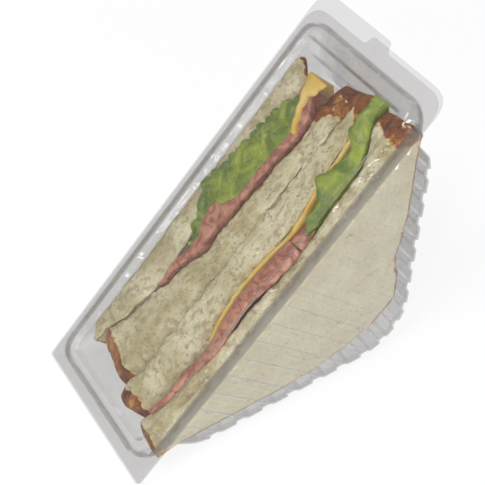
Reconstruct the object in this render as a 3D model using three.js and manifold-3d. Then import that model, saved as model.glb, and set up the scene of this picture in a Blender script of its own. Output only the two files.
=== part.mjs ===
// Clear hinged sandwich wedge holding two half sandwiches, standing on one ribbed leg.
// Millimetres, +Z up. The pack is drawn in its own frame first: s runs along the closed lid from
// the hinge, y runs across, z points out of the lid. That frame then leans 45 degrees.
import * as THREE from 'three';
import Module from 'manifold-3d';
import { mergeVertices } from 'three/addons/utils/BufferGeometryUtils.js';

// The formed plastic.
const sheet = 0.5;              // wall thickness of tub and lid
const closure = 0.3;            // air between tub flange and lid flange
const hingeMargin = 5.8;        // hinge line to the mouth
const mouthLength = 174.2;      // mouth along the lid
const endMargin = 3.5;          // mouth to the narrow end of the tub flange
const mouthWidth = 68;          // mouth across
const sideMargin = 4.5;         // flange beside the mouth
const mouthCorner = 8;          // plan radius of the mouth corners
const flangeCorner = 9;         // plan radius of the flange corners at the tabs
const hingeCorner = 1.5;        // plan radius of the flange corners at the hinge

// The tub under the flange.
const lipDrop = 2;              // upright wall under the flange at both ends of the mouth
const neckLength = 12.5;        // plain neck between the mouth and the ribbed leg panel
const neckStep = 8.9;           // how much further down the ribbed panel lies than the neck
const stepRun = 1.6;            // run of the step from neck to panel
const apexRadius = 23;          // rounding where the two legs meet
const sideDraft = 0.022;        // side walls lean in by this much for each millimetre of depth
const ribPitch = 9;             // from rib to rib along s
const ribWidth = 4.6;           // crest of one rib
const ribRun = 0.9;             // slope at each side of a crest
const ribRise = 1.7;            // height of a rib over the leg panel
const sideRibRise = 0.35;       // height of a rib on the side walls
const sideRibTop = 7.5;         // ribs on the side walls begin this far under the flange
const cornerAcross = 4.6;       // rounding between side wall and leg, across
const cornerDown = 6;           // the same rounding, measured down

// Tabs at the free end, where a thumb parts the lid from the tub.
const tubTabReach = 4.2;        // tub tab beyond its narrow end
const tubTabEdge = 6;           // y where the tub tab begins
const lidTabReach = 6.6;        // lid tab beyond the narrow end of the tub flange
const lidShortReach = 2.4;      // the rest of the lid edge beyond the same line
const lidTabEdge = -4;          // y where the lid tab ends
const tabSweep = 4.5;           // width of the S curve beside a tab

// Lid relief.
const ringHeight = 4.1;         // top of the raised ring over the flange
const ringDraft = 1.2;          // outer wall of the ring leans in by this much
const ringEdge = 0.8;           // rounding of the ring's edges
const ringSide = 2.6;           // flat top of the ring along the sides
const ringEnd = 4.2;            // flat top of the ring at both ends
const panelHeight = 1.6;        // sunken middle panel over the flange
const panelDraft = 0.9;         // inner wall of the ring leans by this much

// The filling.
const fillingRoom = 10.4;       // ham, cheese and lettuce of one half, deep between its slices
const seat = 0.35;              // air between a slice and the plastic that holds it
const layerGap = 0.7;           // air between neighbouring layers
const crustRound = 3;           // rounding of the crust edges
const squareBlunt = 7.9;        // square bottom corner of the loaf ends this far above the apex
const crownBlunt = 15.9;        // domed crown of the loaf ends this far above the apex
const slice1Ends = [14.2, 14];  // each slice starts and ends this far inside the mouth
const slice2Ends = [11.2, 10];
const slice3Ends = [7.2, 10];
const slice4Ends = [7.2, 9];
const cutLevel = -3.4;          // level of the cut faces
const looseLevel = -45;         // below this depth the layers lie straight
const hamThickness = 1.7;       // one slice of ham
const cheeseThickness = 2.2;    // one slice of cheese
const lettuceThickness = 0.8;   // one leaf of lettuce
const fillingTop = -0.6;        // highest point of ham, cheese and lettuce

const wasm = await Module();
wasm.setup();

const ROOT2 = Math.sqrt(2);
const mouthStart = hingeMargin;
const mouthEnd = mouthStart + mouthLength;
const tubEnd = mouthEnd + endMargin;
const flangeHalf = mouthWidth / 2 + sideMargin;
const panelA = neckStep + lipDrop - mouthStart;
const panelB = neckStep + lipDrop + mouthEnd;
const apexS = (panelB - panelA) / 2;
const panelStart = mouthStart + neckLength;
const panelEnd = mouthEnd - neckLength;

function clamp(value, low, high) {
  return Math.min(Math.max(value, low), high);
}

function ramp(value, from, to) {
  const k = clamp((value - from) / (to - from), 0, 1);
  return k * k * (3 - 2 * k);
}

function mix(a, b, k) {
  return a + (b - a) * k;
}

// A smooth curve through [position, value] pairs.
function track(points) {
  return (x) => {
    if (x <= points[0][0]) return points[0][1];
    for (let i = 1; i < points.length; i += 1) {
      const [x0, v0] = points[i - 1];
      const [x1, v1] = points[i];
      if (x <= x1) return mix(v0, v1, (1 - Math.cos(Math.PI * (x - x0) / (x1 - x0))) / 2);
    }
    return points[points.length - 1][1];
  };
}

// Rings of equal point counts joined into one closed body. Each end is closed by strips between
// point k and its partner counted from the ring's other end.
function loft(rings) {
  const count = rings[0].length;
  const positions = [];
  const faces = [];
  rings.forEach((ring) => ring.forEach((p) => positions.push(p[0], p[1], p[2])));
  const at = (ring, k) => ring * count + (k % count);
  for (let r = 0; r + 1 < rings.length; r += 1) {
    for (let k = 0; k < count; k += 1) {
      faces.push(at(r, k), at(r + 1, k), at(r + 1, k + 1));
      faces.push(at(r, k), at(r + 1, k + 1), at(r, k + 1));
    }
  }
  const last = rings.length - 1;
  for (let k = 0; k + 1 < count / 2; k += 1) {
    const mate = count - 1 - k;
    faces.push(at(0, k), at(0, k + 1), at(0, mate - 1));
    faces.push(at(0, k), at(0, mate - 1), at(0, mate));
    faces.push(at(last, k), at(last, mate - 1), at(last, k + 1));
    faces.push(at(last, k), at(last, mate), at(last, mate - 1));
  }
  let volume = 0;
  const corner = (i) => new THREE.Vector3().fromArray(positions, faces[i] * 3);
  for (let i = 0; i < faces.length; i += 3) {
    volume += corner(i).dot(corner(i + 1).cross(corner(i + 2)));
  }
  if (volume < 0) faces.reverse();
  const geometry = new THREE.BufferGeometry();
  geometry.setAttribute('position', new THREE.Float32BufferAttribute(positions, 3));
  geometry.setIndex(faces);
  return geometry;
}

function solid(geometry) {
  const bare = geometry.clone();
  bare.deleteAttribute('normal');
  bare.deleteAttribute('uv');
  const merged = mergeVertices(bare, 1e-4);
  return new wasm.Manifold(new wasm.Mesh({
    numProp: 3,
    vertProperties: new Float32Array(merged.attributes.position.array),
    triVerts: new Uint32Array(merged.index.array),
  }));
}

function shell(body) {
  const mesh = body.getMesh();
  const geometry = new THREE.BufferGeometry();
  geometry.setAttribute('position', new THREE.BufferAttribute(mesh.vertProperties, 3));
  geometry.setIndex(new THREE.BufferAttribute(mesh.triVerts, 1));
  return geometry;
}

function extruded(shape, bottom, top) {
  const options = { depth: top - bottom, bevelEnabled: false, curveSegments: 6 };
  return new THREE.ExtrudeGeometry(shape, options).translate(0, 0, bottom);
}

// 1 on a rib crest, 0 between ribs; the ribs are centred on the apex.
function rib(s) {
  const fromCentre = Math.abs(s - apexS - ribPitch * Math.round((s - apexS) / ribPitch));
  return 1 - ramp(fromCentre, ribWidth / 2, ribWidth / 2 + ribRun);
}

// Depth of the outside of the tub below the flange at each place along s, without ribs.
function plainDepth(s) {
  const neck = Math.min(s - mouthStart, mouthEnd - s) + lipDrop;
  const fromApex = Math.abs(s - apexS);
  const sharp = apexS + panelA - fromApex;
  const centre = apexS + panelA - apexRadius * ROOT2;
  const rounded = centre + Math.sqrt(Math.max(apexRadius ** 2 - fromApex ** 2, 0));
  const panel = fromApex < apexRadius / ROOT2 ? rounded : sharp;
  const onPanel = ramp(s, panelStart, panelStart + stepRun) * ramp(s, panelEnd, panelEnd - stepRun);
  return mix(neck, panel, onPanel);
}

function ribOnPanel(s) {
  const inside = s > panelStart + stepRun && s < panelEnd - stepRun;
  return inside ? rib(s) : 0;
}

function depthAt(s) {
  return plainDepth(s) + ribRise * ribOnPanel(s);
}

function tubStations() {
  const list = [];
  for (const side of [0, 1]) {
    for (const along of [0, 0.7, 2.2, 4.6, mouthCorner]) {
      list.push(side ? mouthEnd - along : mouthStart + along);
    }
    for (const along of [0, stepRun / 2, stepRun]) {
      list.push(side ? panelEnd - along : panelStart + along);
    }
  }
  const ribs = Math.floor((panelEnd - panelStart) / 2 / ribPitch) + 1;
  for (let i = -ribs; i <= ribs; i += 1) {
    for (const edge of [ribWidth / 2, ribWidth / 2 + ribRun]) {
      list.push(apexS + i * ribPitch - edge, apexS + i * ribPitch + edge);
    }
  }
  const kept = list.filter((s) => s >= mouthStart && s <= mouthEnd);
  kept.sort((a, b) => a - b);
  return kept.filter((s, i) => i === 0 || s - kept[i - 1] > 0.25);
}

// The tub's outline in the s-z plane, moved inwards by inset.
function legProfile(inset) {
  const stations = tubStations();
  const points = stations.map((s) => [s, -depthAt(s)]);
  return points.map((point, i) => {
    const before = points[Math.max(i - 1, 0)];
    const after = points[Math.min(i + 1, points.length - 1)];
    const d0 = new THREE.Vector2(point[0] - before[0], point[1] - before[1]);
    const d1 = new THREE.Vector2(after[0] - point[0], after[1] - point[1]);
    if (i === 0) d0.set(0, -1);
    if (i === points.length - 1) d1.set(0, 1);
    d0.normalize();
    d1.normalize();
    const up0 = new THREE.Vector2(-d0.y, d0.x);
    const up1 = new THREE.Vector2(-d1.y, d1.x);
    const miter = up0.clone().add(up1).normalize();
    const reach = inset / Math.max(miter.dot(up0), 0.55);
    return { s: point[0] + miter.x * reach, z: point[1] + miter.y * reach, station: point[0] };
  });
}

function halfWidthAt(z) {
  return mouthWidth / 2 + sideDraft * z;
}

// Half width of the tub at one station: the mouth's plan corners round it off at both ends.
function planHalf(s, inset) {
  const radius = mouthCorner - inset;
  const fromEnd = Math.min(s - mouthStart, mouthEnd - s) - inset;
  const into = clamp(radius - fromEnd, 0, radius);
  return radius - Math.sqrt(radius ** 2 - into ** 2);
}

// One U section of the tub across y, closed over the top at level top.
function tubSection(station, inset, top) {
  const depth = -station.z;
  const across = cornerAcross - inset;
  const shallow = depth * 0.6;
  const down = Math.min(cornerDown - inset, shallow);
  const wall = depth - down;
  const narrow = planHalf(station.station, 0);
  const sideRib = sideRibRise * ribOnPanel(station.station);
  const half = (z, share) => halfWidthAt(z) - inset - narrow + sideRib * share;
  const side = [[half(0, 0), top]];
  const ribStart = Math.min(sideRibTop, wall * 0.5);
  side.push([half(-ribStart, 0), -ribStart]);
  side.push([half(-ribStart, 1), -Math.min(ribStart + 1, wall * 0.7)]);
  for (let i = 0; i <= 3; i += 1) {
    const turn = (i / 3) * Math.PI / 2;
    const y = half(-wall, 1) - across * (1 - Math.cos(turn));
    side.push([y, -wall - down * Math.sin(turn)]);
  }
  const ring = side.map(([y, z]) => [station.s, y, z]);
  const mirrored = side.map(([y, z]) => [station.s, -y, z]).reverse();
  return ring.concat(mirrored);
}

function tubBody(inset, top) {
  return loft(legProfile(inset).map((station) => tubSection(station, inset, top)));
}

// Outline of a flange seen along z. The edge at the free end is end, and reach further on the
// tab, which covers the side of edgeY that tabSide points to.
function flangeShape(start, half, end, reach, edgeY, tabSide) {
  const shape = new THREE.Shape();
  const far = tabSide > 0 ? end + reach : end;
  const near = tabSide > 0 ? end : end + reach;
  shape.moveTo(start + hingeCorner, -half);
  shape.lineTo(near - flangeCorner, -half);
  shape.quadraticCurveTo(near, -half, near, -half + flangeCorner);
  shape.lineTo(near, edgeY - tabSweep / 2);
  const middle = (near + far) / 2;
  shape.quadraticCurveTo(near, edgeY - tabSweep * 0.1, middle, edgeY);
  shape.quadraticCurveTo(far, edgeY + tabSweep * 0.1, far, edgeY + tabSweep / 2);
  shape.lineTo(far, half - flangeCorner);
  shape.quadraticCurveTo(far, half, far - flangeCorner, half);
  shape.lineTo(start + hingeCorner, half);
  shape.quadraticCurveTo(start, half, start, half - hingeCorner);
  shape.lineTo(start, -half + hingeCorner);
  shape.quadraticCurveTo(start, -half, start + hingeCorner, -half);
  return shape;
}

function buildTub() {
  const outline = flangeShape(closure, flangeHalf, tubEnd, tubTabReach, tubTabEdge, -1);
  const flange = solid(extruded(outline, -sheet, 0));
  return shell(solid(tubBody(0, 0)).add(flange).subtract(solid(tubBody(sheet, 1))));
}

// A rounded rectangle over the mouth, moved in by (sIn, yIn), at level z.
function lidRing(sIn, yIn, z) {
  const s0 = mouthStart + sIn;
  const s1 = mouthEnd - sIn;
  const half = mouthWidth / 2 - yIn;
  const radius = Math.max(mouthCorner - yIn * 0.9, 1.2);
  const ring = [];
  const corners = [[s1, half, 0], [s0, half, 1], [s0, -half, 2], [s1, -half, 3]];
  for (const [s, y, quarter] of corners) {
    const cs = s + (s === s1 ? -radius : radius);
    const cy = y + (y > 0 ? -radius : radius);
    for (let i = 0; i <= 6; i += 1) {
      const turn = (quarter + i / 6) * Math.PI / 2;
      ring.push([cs + radius * Math.cos(turn), cy + radius * Math.sin(turn), z]);
    }
  }
  return ring;
}

// The lid's relief from the flange up to its ring and down to the sunken panel. The sheet's
// other face lies at the same places moved in by inset, and lower by drop.
function lidRelief(inset, drop, base) {
  const top = closure + sheet + ringHeight - drop;
  const floor = closure + sheet + panelHeight - drop;
  const upright = 0.4;
  const soft = ringEdge * 0.3;
  const wallTop = ringDraft + inset;
  const ringTop = wallTop + ringEdge;
  const sEdge = ringTop + ringEnd - inset * 2;
  const yEdge = ringTop + ringSide - inset * 2;
  const panel = ringEdge + panelDraft;
  return [
    lidRing(inset, inset, base),
    lidRing(inset, inset, base + upright),
    lidRing(wallTop, wallTop, top - ringEdge),
    lidRing(wallTop + soft, wallTop + soft, top - soft),
    lidRing(ringTop, ringTop, top),
    lidRing(sEdge, yEdge, top),
    lidRing(sEdge + ringEdge - soft, yEdge + ringEdge - soft, top - soft),
    lidRing(sEdge + ringEdge, yEdge + ringEdge, top - ringEdge),
    lidRing(sEdge + panel, yEdge + panel, floor),
  ];
}

function buildLid() {
  const shortEdge = tubEnd + lidShortReach;
  const tab = lidTabReach - lidShortReach;
  const outline = flangeShape(0, flangeHalf, shortEdge, tab, lidTabEdge, 1);
  const flange = solid(extruded(outline, closure, closure + sheet));
  const outside = solid(loft(lidRelief(0, 0, closure)));
  const inside = solid(loft(lidRelief(sheet, sheet, closure - 1)));
  return shell(outside.add(flange).subtract(inside));
}

// Inside half width of the tub at depth z. The slices rest on the necks at both ends, clear of
// the ribbed panels: restA and restB are how far they reach along s at depth z.
function innerHalf(z) {
  return halfWidthAt(z) - sheet - seat;
}

function restA(z) {
  return mouthStart - lipDrop - z + (sheet + seat) * ROOT2;
}

function restB(z) {
  return mouthEnd + lipDrop + z - (sheet + seat) * ROOT2;
}

// Lowest level that a thin layer reaches at s: deep, or clear of the crusts near both ends.
function layerFloor(s, deep) {
  const clear = Math.min(s - restA(0), restB(0) - s) - crustRound;
  return Math.max(deep, -clear);
}

// A place along s as a share of the mouth's length.
function along(share) {
  return mix(mouthStart, mouthEnd, share);
}

// A track from pairs of [share of the mouth's length, value].
function lengthTrack(pairs) {
  return track(pairs.map(([share, value]) => [along(share), value]));
}

// A track across the cut face from pairs of [share of the mouth's length, share of the inner
// half width].
function faceTrack(pairs) {
  const half = innerHalf(cutLevel);
  return lengthTrack(pairs.map(([share, across]) => [share, across * half]));
}

// Where the layers lie across the pack: straight below looseLevel, and along their own track at
// the cut face.
function layered(deep, cutTrack) {
  return (s, z) => mix(deep(z), cutTrack(s), ramp(z, looseLevel, cutLevel));
}

function wallFace(side) {
  return (s, z) => side * innerHalf(z);
}

// Each half holds two slices and the filling between them.
const breadThickness = (innerHalf(looseLevel) - fillingRoom) / 2;

const halfGap = layerGap / 2;
const seam = faceTrack([[0.036, 0.018], [0.162, -0.048], [0.541, -0.054], [0.914, -0.097]]);
const slice1Inner = layered(
  (z) => innerHalf(z) - breadThickness,
  faceTrack([[0.047, 0.653], [0.162, 0.653], [0.288, 0.587], [0.541, 0.683], [0.931, 0.701]]),
);
const slice2Outer = layered(
  () => breadThickness,
  faceTrack([
    [0.047, 0.617], [0.162, 0.617], [0.288, 0.466],
    [0.449, 0.308], [0.656, 0.266], [0.943, 0.218],
  ]),
);
const slice2Inner = layered(() => halfGap, (s) => seam(s) + halfGap);
const slice3Inner = layered(() => -halfGap, (s) => seam(s) - halfGap);
const slice3Outer = layered(
  () => -breadThickness,
  faceTrack([
    [0.036, -0.454], [0.15, -0.556], [0.242, -0.556], [0.437, -0.429],
    [0.621, -0.502], [0.759, -0.399], [0.943, -0.302],
  ]),
);
// Slice 4 from its wall, as pairs of [share of the mouth's length, share of a slice's thickness].
const slice4Cut = lengthTrack([
  [0.036, 1.42], [0.15, 1.0], [0.254, 0.87], [0.38, 0.734], [0.793, 0.734], [0.943, 1.68],
]);
const slice4Inner = layered(
  (z) => breadThickness - innerHalf(z),
  (s) => slice4Cut(s) * breadThickness - innerHalf(cutLevel),
);

// Level where the two lines that the crusts rest on would meet.
const restLevel = (restA(0) - restB(0)) / 2;

// The two slices of the first half have the square bottom corner of the loaf. Each pair is
// [height over the lowest row, how far the crust lies in from its rest line].
const squareEnd = [[0, 5], [4, 1.6], [10, 0.2], [16, 0]];
const squareCorner = { level: restLevel + squareBlunt, start: squareEnd, end: squareEnd };

// The two slices of the second half have the domed crown of the loaf, with a waist beside it.
const crownCorner = {
  level: restLevel + crownBlunt,
  start: [[0, 21], [3, 14], [8, 7], [16, 1.6], [26, 0]],
  end: [[0, 3], [3, 0.4], [10, 0.6], [18, 3.6], [22, 4.4], [28, 2], [36, 0]],
};

// A slice is lofted from the cut face down to its lowest row. Each row is one closed loop around
// the slice: along its outer face, round the crust, back along its inner face, round the crust.
function breadSlice(outer, inner, ends, corner) {
  const rows = [0, 0.05, 0.14, 0.27, 0.41, 0.56, 0.7, 0.83, 0.94, 1];
  const columns = [
    0, 0.012, 0.04, 0.1, 0.18, 0.28, 0.39, 0.5, 0.61, 0.72, 0.82, 0.9, 0.96, 0.988, 1,
  ];
  const flattest = 0.8;
  const startIn = track(corner.start);
  const endIn = track(corner.end);
  const height = cutLevel - corner.level;
  return loft(rows.map((share, row) => {
    const z = mix(cutLevel, corner.level, share);
    const s0 = Math.max(restA(z), mouthStart + ends[0]) + startIn(z - corner.level);
    const s1 = Math.min(restB(z), mouthEnd - ends[1]) - endIn(z - corner.level);
    const low = row === 0 ? 0 : Math.max(crustRound - (1 - share) * height, 0);
    const loop = [];
    for (const face of [outer, inner]) {
      const points = columns.map((column) => {
        const s = mix(s0, s1, column);
        const rim = Math.min(column * (s1 - s0), (1 - column) * (s1 - s0));
        const side = Math.max(crustRound - rim, 0);
        const off = clamp(Math.hypot(side, low), 0, crustRound);
        const round = crustRound - Math.sqrt(crustRound ** 2 - off ** 2);
        const middle = (outer(s, z) + inner(s, z)) / 2;
        const reach = Math.abs(face(s, z) - middle) * flattest;
        const y = face(s, z) - Math.sign(face(s, z) - middle) * Math.min(round, reach);
        return [s, y, z];
      });
      loop.push(...(face === outer ? points : points.reverse()));
    }
    return loop;
  }));
}

// A thin sheet lofted along s. Its middle surface is place(s, t), with t from 0 deep in the
// sandwich to 1 at its free edge.
function foodSheet(size, thickness, place) {
  const rings = [];
  for (let i = 0; i <= size.stations; i += 1) {
    const s = mix(along(size.from), along(size.to), i / size.stations);
    const line = [];
    for (let k = 0; k <= size.steps; k += 1) {
      line.push(new THREE.Vector2(...place(s, k / size.steps)));
    }
    const sides = [1, -1].map((sign) => line.map((p, k) => {
      const before = line[Math.max(k - 1, 0)];
      const after = line[Math.min(k + 1, size.steps)];
      const step = after.clone().sub(before).normalize();
      return [s, p.x + sign * step.y * thickness / 2, p.y - sign * step.x * thickness / 2];
    }));
    rings.push(sides[0].concat(sides[1].reverse()));
  }
  return loft(rings);
}

// A sheet lying at a distance from the face of a slice. It reaches down to deep, with corners
// rounded by corner, and up to its top track.
function flatSheet(size, thickness, face, distance, top, lean = () => 0) {
  const first = along(size.from);
  const last = along(size.to);
  const drop = track([
    [first, size.corner],
    [first + size.corner, 0],
    [last - size.corner, 0],
    [last, size.corner],
  ]);
  return foodSheet(size, thickness, (s, t) => {
    const z = mix(layerFloor(s, size.deep + drop(s)), top(s), t);
    return [face(s, z) + distance + lean(s, t), z];
  });
}

const hamOff = layerGap + hamThickness / 2;
const cheeseOff = layerGap + cheeseThickness / 2;
const overHam = hamOff + hamThickness / 2;
const overCheese = cheeseOff + cheeseThickness / 2;

// Ham against slice 2, rising over the cut face where it folds.
function hamOne() {
  const size = { from: 0.3, to: 0.816, deep: -52, corner: 12, stations: 20, steps: 5 };
  const top = lengthTrack([[0.3, -6], [0.357, -3], [0.506, -1.6], [0.644, -3], [0.816, -4]]);
  const fold = lengthTrack([[0.311, 0], [0.426, 0.5], [0.495, 2.6], [0.552, 0.5], [0.816, 0]]);
  return flatSheet(size, hamThickness, slice2Outer, hamOff, top, (s, t) => t * t * fold(s));
}

// Cheese that slants from slice 2 towards slice 1 at the upper end.
function cheeseOne() {
  const size = { from: 0.765, to: 0.908, deep: -26, corner: 0.1, stations: 8, steps: 4 };
  const top = () => cutLevel + 1;
  const slant = lengthTrack([[0.759, 0], [0.908, 7]]);
  return flatSheet(size, cheeseThickness, slice2Outer, overHam + cheeseOff, top, slant);
}

// Lettuce that leaves the filling beside slice 1 and curls over its cut face.
function lettuceOne() {
  const size = { from: 0.403, to: 0.811, deep: -40, stations: 26, steps: 6 };
  const free = fillingTop - 0.6;
  const bow = 2.4;
  const ripple = { height: 0.7, turn: 0.9 };
  const curl = lengthTrack([
    [0.403, 1.2], [0.46, 1.8], [0.529, 7.4], [0.575, 3],
    [0.679, 1], [0.747, 1.6], [0.805, 0.5],
  ]);
  return foodSheet(size, lettuceThickness, (s, t) => {
    const z = mix(layerFloor(s, size.deep), free, Math.sin(t * Math.PI / 2));
    const wave = Math.sin(s * ripple.turn) * ripple.height * t * t;
    const away = layerGap * 2 + lettuceThickness * 1.7 + bow * Math.sin(Math.PI * t);
    return [slice1Inner(s, Math.min(z, cutLevel)) - away + curl(s) * t ** 4 + wave, z];
  });
}

// Cheese against slice 3 along the upper half.
function cheeseTwo() {
  const size = { from: 0.592, to: 0.92, deep: -44, corner: 10, stations: 14, steps: 4 };
  const top = lengthTrack([[0.598, -3.4], [0.644, -2.4], [0.885, -2.2], [0.931, -3]]);
  return flatSheet(size, cheeseThickness, slice3Outer, -cheeseOff, top);
}

// Cheese against slice 3 along the lower half.
function cheeseThree() {
  const size = { from: 0.311, to: 0.564, deep: -40, corner: 8, stations: 12, steps: 4 };
  const top = lengthTrack([[0.311, -4.4], [0.357, -3], [0.529, -2.2], [0.564, -4]]);
  return flatSheet(size, cheeseThickness, slice3Outer, -cheeseOff, top);
}

// Ham beyond the upper cheese.
function hamTwo() {
  const size = { from: 0.598, to: 0.828, deep: -38, corner: 9, stations: 12, steps: 5 };
  const top = lengthTrack([[0.61, -4], [0.656, -3.2], [0.885, -3.4]]);
  return flatSheet(size, hamThickness, slice3Outer, -overCheese - hamOff, top);
}

// Ham along the lower half, folded over towards slice 4 near its upper end.
function hamThree() {
  const size = { from: 0.087, to: 0.581, deep: -36, corner: 9, stations: 21, steps: 5 };
  const top = lengthTrack([[0.087, -5.4], [0.196, -3.4], [0.311, -2.4], [0.518, -1.6], [0.575, -3]]);
  const near = lengthTrack([[0.087, 2.9], [0.219, 2.4], [0.305, 0]]);
  const fold = lengthTrack([[0.196, 0], [0.288, 0.6], [0.449, 2.7], [0.541, 3.3], [0.581, 1.2]]);
  const lean = (s, t) => near(s) - t ** 3 * fold(s);
  return flatSheet(size, hamThickness, slice3Outer, -overCheese - hamOff, top, lean);
}

// Lettuce beside slice 4, with a loosely waved edge. It leans over the cut face by a share of the
// room between slice 4 and the ham.
function lettuceTwo() {
  const size = { from: 0.587, to: 0.874, deep: -40, stations: 22, steps: 6 };
  const free = fillingTop - 1.2;
  const ripple = { height: 0.5, turn: 0.55 };
  const bulge = lengthTrack([
    [0.587, 0], [0.644, 0.04], [0.713, 0.63],
    [0.776, 0.24], [0.828, 0.47], [0.874, 0.12],
  ]);
  return foodSheet(size, lettuceThickness, (s, t) => {
    const z = mix(layerFloor(s, size.deep), free, Math.sin(t * Math.PI / 2));
    const level = Math.min(z, cutLevel);
    const room = slice3Outer(s, level) - overCheese - overHam - slice4Inner(s, level);
    const wave = Math.sin(s * ripple.turn) * ripple.height;
    const away = layerGap + lettuceThickness * 1.9 + (bulge(s) * room + wave) * t ** 4;
    return [slice4Inner(s, level) + away, z];
  });
}

function piece(name, geometry, color, roughness, opacity = 1) {
  const look = { color, roughness, metalness: 0, opacity, transparent: opacity < 1 };
  const mesh = new THREE.Mesh(geometry, new THREE.MeshStandardMaterial(look));
  mesh.name = name;
  return mesh;
}

const slice1 = breadSlice(wallFace(1), slice1Inner, slice1Ends, squareCorner);
const slice2 = breadSlice(slice2Outer, slice2Inner, slice2Ends, squareCorner);
const slice3 = breadSlice(slice3Inner, slice3Outer, slice3Ends, crownCorner);
const slice4 = breadSlice(slice4Inner, wallFace(-1), slice4Ends, crownCorner);

const pack = new THREE.Group();
pack.add(
  piece('tub', buildTub(), 0xdfe3e2, 0.12, 0.3),
  piece('lid', buildLid(), 0xe6e9e8, 0.1, 0.3),
  piece('bread_slice_1', slice1, 0xded5bb, 0.9),
  piece('bread_slice_2', slice2, 0xe2d9c0, 0.9),
  piece('bread_slice_3', slice3, 0xe2d9c0, 0.9),
  piece('bread_slice_4', slice4, 0xded5bb, 0.9),
  piece('ham_slice_1', hamOne(), 0xc98377, 0.5),
  piece('ham_slice_2', hamTwo(), 0xcf8d7a, 0.5),
  piece('ham_slice_3', hamThree(), 0xbd7468, 0.5),
  piece('cheese_slice_1', cheeseOne(), 0xd9b65a, 0.5),
  piece('cheese_slice_2', cheeseTwo(), 0xd8b24f, 0.5),
  piece('cheese_slice_3', cheeseThree(), 0xdaa93a, 0.5),
  piece('lettuce_leaf_1', lettuceOne(), 0x6f9a2a, 0.45),
  piece('lettuce_leaf_2', lettuceTwo(), 0x86ad3a, 0.45),
);

// The closed lid leans 45 degrees back over the leg that the pack stands on.
pack.rotation.y = -Math.PI / 4;
pack.updateMatrixWorld(true);
const bounds = new THREE.Box3().setFromObject(pack, true);
const middle = bounds.getCenter(new THREE.Vector3());
pack.position.set(-middle.x, -middle.y, -bounds.min.z);

const part = new THREE.Group();
part.add(pack);

export default part;
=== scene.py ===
"""Looks of a clear hinged sandwich wedge and the two half sandwiches in it.

Lengths are in millimetres in the pack's own frame, as in the CAD source: s runs along the closed
lid from the hinge, y runs across, z points out of the lid. to_row() turns that into the row frame.
"""

import math

import bmesh
import bpy
from mathutils import Matrix, Vector, noise


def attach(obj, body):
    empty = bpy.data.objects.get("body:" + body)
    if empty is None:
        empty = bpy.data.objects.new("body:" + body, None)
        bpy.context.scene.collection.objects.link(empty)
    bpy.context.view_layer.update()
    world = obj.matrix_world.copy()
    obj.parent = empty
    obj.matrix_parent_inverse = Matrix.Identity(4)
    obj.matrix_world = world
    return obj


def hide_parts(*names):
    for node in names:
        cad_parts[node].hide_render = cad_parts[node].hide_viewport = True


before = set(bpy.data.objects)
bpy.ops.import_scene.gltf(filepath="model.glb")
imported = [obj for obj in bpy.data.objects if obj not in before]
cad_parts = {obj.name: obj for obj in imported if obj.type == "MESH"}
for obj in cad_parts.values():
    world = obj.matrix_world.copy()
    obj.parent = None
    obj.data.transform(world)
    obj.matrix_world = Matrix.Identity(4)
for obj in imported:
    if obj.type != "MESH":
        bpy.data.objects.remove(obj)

MM = 0.001
ROOT2 = math.sqrt(2)
SHIFT = (-67.8115, 4.8083)  # the pack's place in the row frame, along X and Z

# The formed plastic, as in the CAD source.
SHEET = 0.5
MOUTH_START, MOUTH_LENGTH, MOUTH_WIDTH = 5.8, 174.2, 68.0
MOUTH_END = MOUTH_START + MOUTH_LENGTH
LIP_DROP, SIDE_DRAFT, SEAT = 2.0, 0.022, 0.35

# The food. The bread is a little thicker than in the CAD, which derives about 10.9, and its crust is less
# rounded. HAM is the room that a ham sheet takes up, and the sheets drawn here are thinner.
BREAD, LAYER_GAP, CRUST_ROUND = 11.0, 0.7, 1.5
CUT_LEVEL, LOOSE_LEVEL = -3.4, -45.0
HAM, CHEESE = 1.7, 2.2
HAM_SHEET, THICK_HAM_SHEET, LETTUCE_SHEET = 1.2, 1.3, 0.45

# How far under the cut a slice's trimmed ends and its torn surface fade out, and how the tears run.
TRIM_DEPTH, TORN_DEPTH = 14, 9
TEAR_LOW, TEAR_HIGH = -1.6, 1.2
EDGE_SHARE = 0.3  # share of a slice's thickness over which its edges dip
SIDE_CRUST = 2.6  # width of the crust on the faces of a slice
CORE_SHARE = 0.2  # the share of its thickness that a rounded slice always keeps


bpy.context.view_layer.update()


def clamp(value, low, high):
    return min(max(value, low), high)


def ramp(value, start, end):
    k = clamp((value - start) / (end - start), 0, 1)
    return k * k * (3 - 2 * k)


def mix(a, b, k):
    return a + (b - a) * k


def track(points):
    """A smooth curve through (position, value) pairs."""

    def value(x):
        if x <= points[0][0]:
            return points[0][1]
        for (x0, v0), (x1, v1) in zip(points, points[1:]):
            if x <= x1:
                return mix(v0, v1, (1 - math.cos(math.pi * (x - x0) / (x1 - x0))) / 2)
        return points[-1][1]

    return value


def along(share):
    return mix(MOUTH_START, MOUTH_END, share)


def length_track(*pairs):
    return track([(along(share), value) for share, value in pairs])


def inner_half(z):
    return MOUTH_WIDTH / 2 + SIDE_DRAFT * z - SHEET - SEAT


def face_track(*pairs):
    half = inner_half(CUT_LEVEL)
    return length_track(*[(share, value * half) for share, value in pairs])


def rest_a(z):
    return MOUTH_START - LIP_DROP - z + (SHEET + SEAT) * ROOT2


def rest_b(z):
    return MOUTH_END + LIP_DROP + z - (SHEET + SEAT) * ROOT2


def layer_floor(s, deep):
    clear = min(s - rest_a(0), rest_b(0) - s) - CRUST_ROUND
    return max(deep, -clear)


def layered(deep, cut):
    return lambda s, z: mix(deep(z), cut(s), ramp(z, LOOSE_LEVEL, CUT_LEVEL))


def to_row(s, y, z):
    return Vector(((s - z) / ROOT2 + SHIFT[0], y, (s + z) / ROOT2 + SHIFT[1])) * MM


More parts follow.
